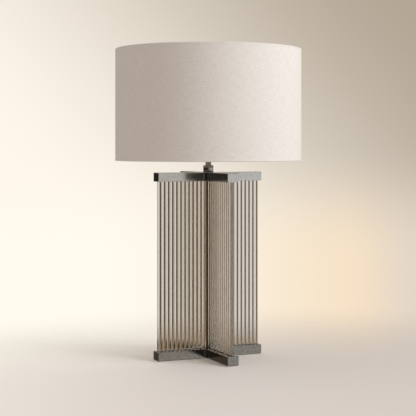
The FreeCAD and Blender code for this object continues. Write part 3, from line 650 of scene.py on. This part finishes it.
# colours round the lamp: the diffuse light on it, the backdrop, what metal
# mirrors in front and on the unlit side, and what glass shows on either side
AMBIENT = (0.61, 0.53, 0.465, 1)
GLOW_LEFT, GLOW_RIGHT = (1.0, 0.96, 0.85, 1), (0.92, 0.75, 0.55, 1)
GLOW_END = (0.74, 0.66, 0.58, 1)
WALL_LEFT, WALL_RIGHT = (1.0, 0.93, 0.83, 1), (0.45, 0.38, 0.30, 1)
PANEL_WARM, PANEL_COOL = (0.88, 0.82, 0.73, 1), (1.0, 1.02, 1.02, 1)
UNLIT_LOW, UNLIT_HIGH = (0.15, 0.13, 0.10, 1), (0.012, 0.011, 0.008, 1)
GLASS_MIDDLE, GLASS_RIGHT = (0.72, 0.68, 0.63, 1), (0.60, 0.42, 0.23, 1)
GLASS_DARK, GLASS_LEFT = (0.06, 0.038, 0.02, 1), (0.62, 0.50, 0.37, 1)
GLASS_FOOT, GLASS_BELOW = (0.24, 0.16, 0.085, 1), (0.62, 0.57, 0.51, 1)

# the photograph's camera, in pixels of its frame and metres
FRAME_WIDTH, FOCAL_LENGTH = 416, 1182
MIDDLE_OFFSET, HORIZON_ROW = -0.28, 145.18
EYE_DISTANCE, EYE_HEIGHT = 2.584, 0.4624
SENSOR_WIDTH = 36


def floor_plane():
    """Pale floor that fades into the backdrop behind and beside the lamp; its colour is painted
    light, lighter to the left and darker to the right.
    """
    material, tree, shader = new_material("floor")
    place = add(tree, "TexCoord").outputs["Object"]
    across = vector_value(tree, "DOT_PRODUCT", place, RIGHT)
    # painted light: the floor's colour darkens from left to right
    tone = mixed(tree, eased(tree, across, -0.5, 0.6), FLOOR_PAINTED_LIT, FLOOR_PAINTED_SHADE)
    cloud = span(tree, noise(tree, place, 3.0, 3), 0.0, 0.12)
    plug(tree, mixed(tree, cloud, tone, FLOOR_CLOUD), shader, "Base Color")
    grain = noise(tree, place, 220.0, 3)
    plug(tree, span(tree, grain, 0.6, 0.75), shader, "Roughness")
    bump(tree, shader, grain, 1e-4)
    distance = vector_value(tree, "DISTANCE", place, FLOOR_MIDDLE)
    fade = eased(tree, distance, *FLOOR_FADE)
    reflected = add(tree, "LightPath").outputs["Is Glossy Ray"]
    hidden = add(tree, "Math", {0: fade, 1: reflected}, operation="MAXIMUM").outputs[0]
    clear = add(tree, "BsdfTransparent").outputs[0]
    blended = add(tree, "MixShader", {0: hidden, 1: shader.outputs[0], 2: clear})
    tree.links.new(blended.outputs[0], tree.nodes["Material Output"].inputs["Surface"])
    build = bmesh.new()
    radius = FLOOR_MIDDLE.length + FLOOR_FADE[1]
    bmesh.ops.create_circle(build, cap_ends=True, radius=radius, segments=96)
    mesh = bpy.data.meshes.new("floor")
    build.to_mesh(mesh)
    build.free()
    mesh.materials.append(material)
    plane = bpy.data.objects.new("floor", mesh)
    bpy.context.scene.collection.objects.link(plane)


def area_light(name, place, target, size, watts, colour):
    light = bpy.data.lights.new(name, "AREA")
    light.shape = "RECTANGLE"
    light.size, light.size_y = size
    light.energy = watts
    light.color = colour
    lamp = bpy.data.objects.new(name, light)
    lamp.location = place
    lamp.rotation_euler = (Vector(target) - Vector(place)).to_track_quat("-Z", "Y").to_euler()
    lamp.visible_camera = False
    bpy.context.scene.collection.objects.link(lamp)


def world_light():
    """Warm even light on the object; the camera sees a pale backdrop, and
    metal and glass see it with a dark side to the left of the set."""
    world = bpy.data.worlds.new("studio")
    world.use_nodes = True
    bpy.context.scene.world = world
    tree = world.node_tree
    direction = add(tree, "TexCoord").outputs["Generated"]

    def along(axis, low, high):
        return eased(tree, vector_value(tree, "DOT_PRODUCT", direction, axis), low, high)

    lower = mixed(tree, along(RIGHT, -0.10, 0.16), GLOW_LEFT, GLOW_RIGHT)
    lower = mixed(tree, along(RIGHT, 0.11, 0.19), lower, GLOW_END)
    upper = mixed(tree, along(RIGHT + 0.9 * UP, -0.19, 0.29), WALL_LEFT, WALL_RIGHT)
    backdrop = mixed(tree, along(UP, -0.10, 0.0), lower, upper)
    panel = mixed(tree, along(CROSSWISE, -0.10, 0.10), PANEL_WARM, PANEL_COOL)
    lit = mixed(tree, along(FRONT_RIGHT, 0.0, 0.7), backdrop, panel)
    unlit = mixed(tree, along(UP, -0.14, -0.05), UNLIT_LOW, UNLIT_HIGH)
    seen_in_metal = mixed(tree, along(DARK_SIDE, 0.10, 0.40), lit, unlit)
    glass_right = mixed(tree, along(RIGHT, 0.55, 0.90), GLASS_MIDDLE, GLASS_RIGHT)
    glass_left = mixed(tree, along(-RIGHT, 0.60, 0.80), GLASS_DARK, GLASS_LEFT)
    near_floor = mixed(tree, along(-UP, 0.185, 0.25), GLASS_FOOT, GLASS_BELOW)
    seen_in_glass = mixed(tree, along(-RIGHT, 0.06, 0.20), glass_right, glass_left)
    seen_in_glass = mixed(tree, along(-UP, 0.14, 0.18), seen_in_glass, near_floor)
    path = add(tree, "LightPath").outputs
    colour = mixed(tree, path["Is Camera Ray"], AMBIENT, backdrop)
    colour = mixed(tree, path["Is Glossy Ray"], colour, seen_in_metal)
    colour = mixed(tree, path["Is Transmission Ray"], colour, seen_in_glass)
    tree.links.new(colour, tree.nodes["Background"].inputs["Color"])


def camera():
    """The photograph's camera: level, its horizon above the middle."""
    data = bpy.data.cameras.new("camera")
    data.sensor_width = SENSOR_WIDTH
    data.lens = FOCAL_LENGTH / FRAME_WIDTH * SENSOR_WIDTH
    data.shift_x = MIDDLE_OFFSET / FRAME_WIDTH
    data.shift_y = (HORIZON_ROW - FRAME_WIDTH / 2) / FRAME_WIDTH
    data.clip_start, data.clip_end = 0.05, 100
    eye = bpy.data.objects.new("camera", data)
    eye.location = -EYE_DISTANCE * AHEAD + EYE_HEIGHT * UP
    eye.rotation_euler = (math.pi / 2, 0, -VIEW_TURN)
    bpy.context.scene.collection.objects.link(eye)
    bpy.context.scene.camera = eye


floor_plane()
world_light()
area_light(
    "key",
    place=1.9 * RIGHT - 0.9 * AHEAD + 1.3 * UP,
    target=(0, 0, 0.45),
    size=(1.2, 1.4),
    watts=36,
    colour=(0.93, 0.97, 1.0),
)
camera()
bpy.context.scene.view_settings.view_transform = "Standard"
# light that runs along an arm passes two surfaces of each of its rods
LIGHT_BOUNCES = 4 * RODS_PER_ARM
bpy.context.scene.cycles.max_bounces = LIGHT_BOUNCES
bpy.context.scene.cycles.transmission_bounces = LIGHT_BOUNCES
bpy.context.scene.cycles.glossy_bounces = LIGHT_BOUNCES
